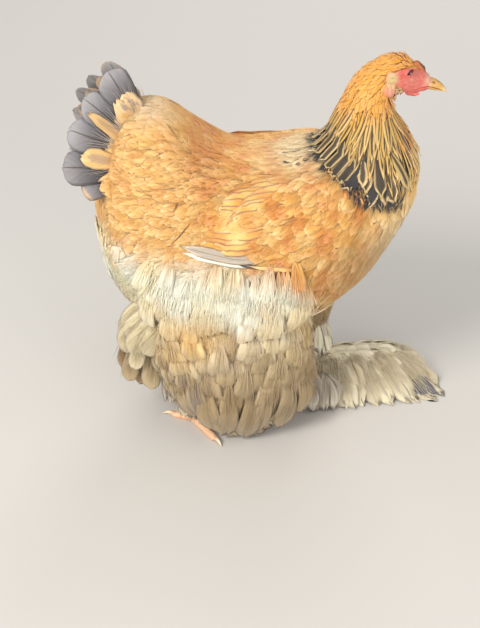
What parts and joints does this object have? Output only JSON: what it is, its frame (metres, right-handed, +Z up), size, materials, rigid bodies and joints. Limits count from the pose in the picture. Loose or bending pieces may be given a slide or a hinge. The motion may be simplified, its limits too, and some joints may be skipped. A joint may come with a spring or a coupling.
{
  "type": "brahma hen",
  "caption": "Life-size standing Brahma hen as a still model, head up and turned straight ahead, with feathered feet spread wide.",
  "frame": {"origin": "middle of the hen's box in plan, on the floor under the soles", "axes": "+X forward along the beak, +Y to the hen's left side, +Z up"},
  "size_m": [0.4336, 0.276, 0.4497],
  "materials": {
    "buff_feather": "soft matt feather",
    "hackle_feather": "soft matt feather with slate centres",
    "slate_feather": "soft matt feather",
    "cream_feather": "soft matt down",
    "foot_feather": "soft matt feather over scaled toes",
    "red_skin": "satin bare skin",
    "pale_skin": "satin bare skin",
    "horn": "polished horn",
    "eye_gloss": "polished"
  },
  "bodies": {
    "root": {"beak_lower": "horn", "beak_upper": "horn", "belly": "cream_feather", "claw_hind_left": "horn", "claw_hind_right": "horn", "claw_inner_left": "horn", "claw_inner_right": "horn", "claw_middle_left": "horn", "claw_middle_right": "horn", "claw_outer_left": "horn", "claw_outer_right": "horn", "comb": "red_skin", "earlobe_left": "pale_skin", "earlobe_right": "pale_skin", "eye_left": "eye_gloss", "eye_right": "eye_gloss", "face": "red_skin", "foot_left": "foot_feather", "foot_right": "foot_feather", "head": "buff_feather", "neck": "hackle_feather", "shank_left": "cream_feather", "shank_right": "cream_feather", "tail": "slate_feather", "thigh_left": "cream_feather", "thigh_right": "cream_feather", "torso": "buff_feather", "wattle_left": "red_skin", "wattle_right": "red_skin", "wing_left": "buff_feather", "wing_right": "buff_feather"}
  },
  "joints": []
}
